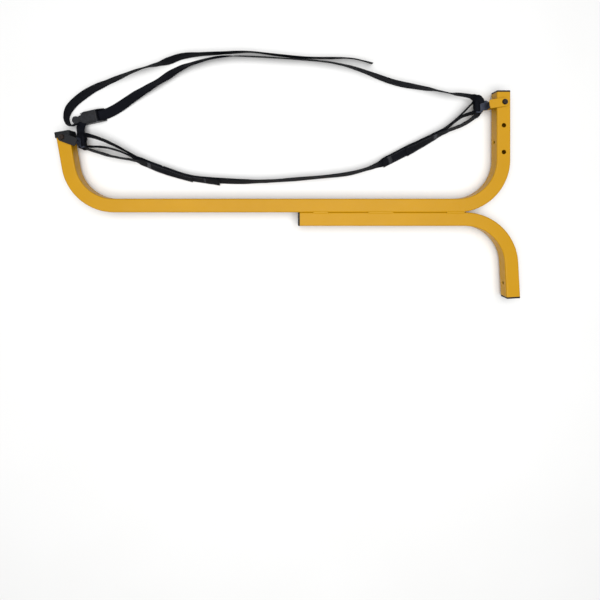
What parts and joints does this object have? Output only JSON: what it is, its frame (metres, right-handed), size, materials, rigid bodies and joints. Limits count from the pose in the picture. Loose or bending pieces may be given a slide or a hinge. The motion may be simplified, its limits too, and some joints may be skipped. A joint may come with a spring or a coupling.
{
  "type": "ladder stabilizer",
  "caption": "Bent square-tube ladder stabilizer with a parallel lower arm, swivelling strap brackets and a cam-buckle webbing strap.",
  "frame": {"origin": "centre of the frame's outline, without the strap and its buckle, on the surface that the frame lies on", "axes": "+X along the bars towards the end with the lower arm, +Y up the uprights, +Z through the tube thickness"},
  "size_m": [1.0861, 0.5823, 0.0475],
  "materials": {
    "yellow_powder_coat": "glossy yellow powder coat on steel",
    "plug_plastic": "moulded black polyethylene",
    "cap_rubber": "moulded black rubber",
    "washer_nylon": "black nylon",
    "spacer_steel": "zinc plated",
    "black_oxide_steel": "black oxide",
    "black_coated_steel": "black powder coat",
    "buckle_alloy": "black painted zinc alloy",
    "pin_steel": "plain steel",
    "black_webbing": "woven black polypropylene webbing"
  },
  "bodies": {
    "frame": {"main_bar_tube": "yellow_powder_coat", "lower_arm_tube": "yellow_powder_coat", "weld_beads": "yellow_powder_coat", "right_post_plug": "plug_plastic", "lower_bar_plug": "plug_plastic", "arm_end_plug": "plug_plastic", "rubber_foot_cap": "cap_rubber", "right_washers": "washer_nylon", "right_barrel_nut": "black_oxide_steel", "right_pivot_screw": "black_oxide_steel", "left_washers": "washer_nylon", "left_barrel_nut": "black_oxide_steel", "left_pivot_screw": "black_oxide_steel", "buckle_body": "buckle_alloy", "cam_pin": "pin_steel", "anchor_bar": "pin_steel", "cam_spring": "pin_steel", "strap_in_buckle": "black_webbing", "anchor_strap": "black_webbing", "upper_run": "black_webbing", "strap_tail": "black_webbing", "lower_run": "black_webbing", "left_return_ply": "black_webbing", "left_anchor_ply": "black_webbing", "right_return_ply": "black_webbing", "right_upper_ply": "black_webbing"},
    "right_bracket": {"right_top_ear": "yellow_powder_coat", "right_bottom_ear": "yellow_powder_coat", "right_link_pin": "yellow_powder_coat", "right_spacers": "spacer_steel"},
    "right_link": {"right_strap_link": "black_coated_steel", "right_webbing_loop": "black_webbing"},
    "left_bracket": {"left_top_ear": "black_coated_steel", "left_bottom_ear": "black_coated_steel", "left_link_pin": "black_coated_steel", "left_spacers": "spacer_steel"},
    "left_link": {"left_strap_link": "black_coated_steel", "left_webbing_loop": "black_webbing"},
    "cam": {"cam_lever": "buckle_alloy"}
  },
  "joints": [
    {"name": "right_bracket_swivel", "type": "hinge", "parent": "frame", "child": "right_bracket", "pos_m": [0.5039, 0.2153, 0.02388], "axis": [0, 0, 1], "range_deg": [-33, 15]},
    {"name": "right_link_swivel", "type": "hinge", "parent": "right_bracket", "child": "right_link", "pos_m": [0.47921, 0.21139, 0.02388], "axis": [0, 0, 1], "range_deg": [-34, 33], "deforming": ["upper_run", "right_return_ply", "right_upper_ply"]},
    {"name": "left_bracket_swivel", "type": "hinge", "parent": "frame", "child": "left_bracket", "pos_m": [-0.52328, 0.13376, 0.02388], "axis": [0, 0, 1], "range_deg": [-1, 26]},
    {"name": "left_link_swivel", "type": "hinge", "parent": "left_bracket", "child": "left_link", "pos_m": [-0.49979, 0.12521, 0.02388], "axis": [0, 0, 1], "range_deg": [-20, 12], "deforming": ["anchor_strap", "lower_run", "left_return_ply", "left_anchor_ply"]},
    {"name": "cam_lever_hinge", "type": "hinge", "parent": "frame", "child": "cam", "pos_m": [-0.45919, 0.18873, 0.0096], "axis": [-0.2164, 0.9763, 0], "range_deg": [0, 60], "stiffness_Nm_per_rad": 0.03, "springref_deg": -28.65}
  ]
}
